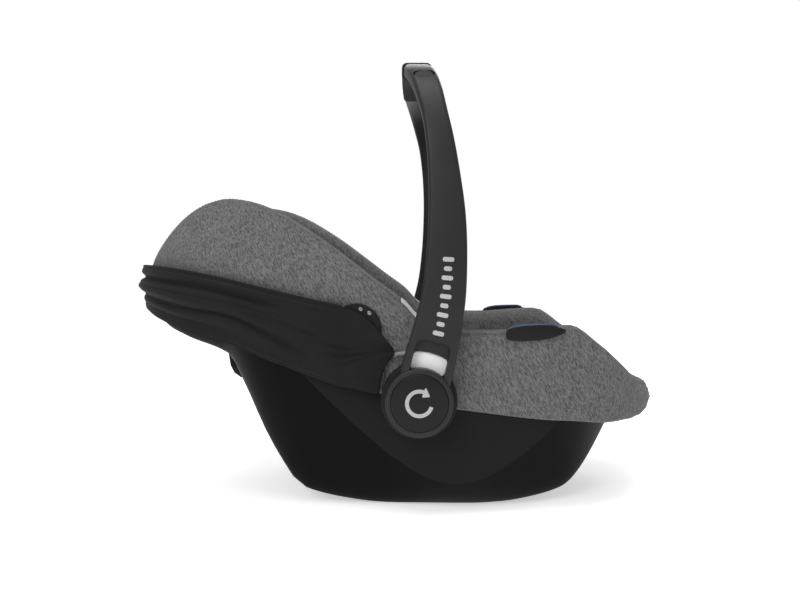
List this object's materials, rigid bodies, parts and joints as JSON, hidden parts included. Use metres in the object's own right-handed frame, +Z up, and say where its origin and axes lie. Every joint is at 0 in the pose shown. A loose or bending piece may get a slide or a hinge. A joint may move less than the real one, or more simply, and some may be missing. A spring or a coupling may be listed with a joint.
{
  "type": "infant car seat",
  "caption": "Rearward-facing infant carrier with a rocking shell, U-shaped carrying handle that swings back, folding canopy, harness and belt guides.",
  "frame": {"origin": "middle of the bounding box in plan, on the floor under the flat of the rocking base", "axes": "+X towards the child's feet, +Z up, the child's right side at -Y"},
  "size_m": [0.663, 0.4372, 0.554],
  "materials": {
    "shell_plastic": "satin black moulded plastic",
    "handle_plastic": "fine-grained satin black moulded plastic",
    "cover_knit": "grey melange knit, padded",
    "canopy_cloth": "black woven cloth",
    "white_plastic": "smooth white plastic",
    "grey_plastic": "satin grey plastic",
    "blue_plastic": "satin blue plastic",
    "red_plastic": "glossy red plastic",
    "foam_beads": "off-white foam beads",
    "webbing": "black ribbed webbing",
    "pad_cloth": "dark grey melange knit, padded",
    "grip_rubber": "matt soft-touch rubber",
    "steel": "brushed steel"
  },
  "bodies": {
    "shell": {"adjuster_housing": "shell_plastic", "adjuster_strap": "webbing", "belt_guide_left": "shell_plastic", "belt_guide_right": "shell_plastic", "belt_mark_left": "blue_plastic", "belt_mark_right": "blue_plastic", "buckle_body": "shell_plastic", "buckle_tongue_left": "steel", "buckle_tongue_right": "steel", "canopy_pivot_pin_left": "steel", "canopy_pivot_pin_right": "steel", "canopy_rear_panel": "canopy_cloth", "canopy_rivet_left_1": "steel", "canopy_rivet_left_2": "steel", "canopy_rivet_right_1": "steel", "canopy_rivet_right_2": "steel", "canopy_side_plate_left": "shell_plastic", "canopy_side_plate_right": "shell_plastic", "chest_pad_left": "pad_cloth", "chest_pad_right": "pad_cloth", "crotch_strap": "webbing", "foam_liner": "foam_beads", "harness_yoke": "steel", "head_support": "pad_cloth", "lock_housing_left": "shell_plastic", "lock_housing_right": "shell_plastic", "newborn_insert": "pad_cloth", "outer_shell": "shell_plastic", "position_plate_left": "white_plastic", "position_plate_right": "white_plastic", "rear_belt_hook": "shell_plastic", "rim_tab_left": "grey_plastic", "rim_tab_right": "grey_plastic", "seat_cover": "cover_knit", "shoulder_strap_left": "webbing", "shoulder_strap_right": "webbing"},
    "handle": {"handle_frame": "handle_plastic", "handle_grip": "grip_rubber", "lock_gear_right": "grey_plastic", "lock_gear_left": "grey_plastic", "button_spring_right": "steel", "button_spring_left": "steel"},
    "pivot_button_right": {"pivot_button_right": "handle_plastic"},
    "pivot_button_left": {"pivot_button_left": "handle_plastic"},
    "release_button_right": {"release_button_right": "handle_plastic"},
    "release_button_left": {"release_button_left": "handle_plastic"},
    "canopy_bow": {"canopy_front_bow": "shell_plastic", "canopy_front_panel": "canopy_cloth"},
    "canopy_middle": {"canopy_middle_bow": "shell_plastic", "canopy_middle_panel": "canopy_cloth"},
    "buckle_button": {"buckle_button": "red_plastic"},
    "adjuster_lever": {"adjuster_lever": "grey_plastic"}
  },
  "joints": [
    {"name": "handle_turn", "type": "hinge", "parent": "shell", "child": "handle", "pos_m": [0.029, 0, 0.14], "axis": [0, -1, 0], "range_deg": [0, 105]},
    {"name": "canopy_turn", "type": "hinge", "parent": "shell", "child": "canopy_bow", "pos_m": [-0.045, 0, 0.22], "axis": [0, 1, 0], "range_deg": [0, 88]},
    {"name": "canopy_middle_turn", "type": "hinge", "parent": "shell", "child": "canopy_middle", "pos_m": [-0.045, 0, 0.22], "axis": [0, 1, 0], "range_deg": [0, 44]},
    {"name": "pivot_button_right_press", "type": "slide", "parent": "handle", "child": "pivot_button_right", "axis": [0, 1, 0], "range_m": [0, 0.0035], "stiffness_N_per_m": 900, "springref_m": -0.002, "deforming": ["button_spring_right"]},
    {"name": "release_button_right_press", "type": "slide", "parent": "handle", "child": "release_button_right", "axis": [0, 0.7578, -0.6524], "range_m": [0, 0.0023], "stiffness_N_per_m": 900, "springref_m": -0.001},
    {"name": "pivot_button_left_press", "type": "slide", "parent": "handle", "child": "pivot_button_left", "axis": [0, -1, 0], "range_m": [0, 0.0035], "stiffness_N_per_m": 900, "springref_m": -0.002, "deforming": ["button_spring_left"]},
    {"name": "release_button_left_press", "type": "slide", "parent": "handle", "child": "release_button_left", "axis": [0, -0.7578, -0.6524], "range_m": [0, 0.0023], "stiffness_N_per_m": 900, "springref_m": -0.001},
    {"name": "buckle_press", "type": "slide", "parent": "shell", "child": "buckle_button", "axis": [-0.2425, 0, -0.9701], "range_m": [0, 0.003], "stiffness_N_per_m": 900, "springref_m": -0.001},
    {"name": "adjuster_press", "type": "slide", "parent": "shell", "child": "adjuster_lever", "axis": [0.3416, 0, -0.9398], "range_m": [0, 0.003], "stiffness_N_per_m": 900, "springref_m": -0.001}
  ],
  "couplings": [
    {"joint": "canopy_middle_turn", "follows": "canopy_turn", "ratio": 0.5}
  ]
}
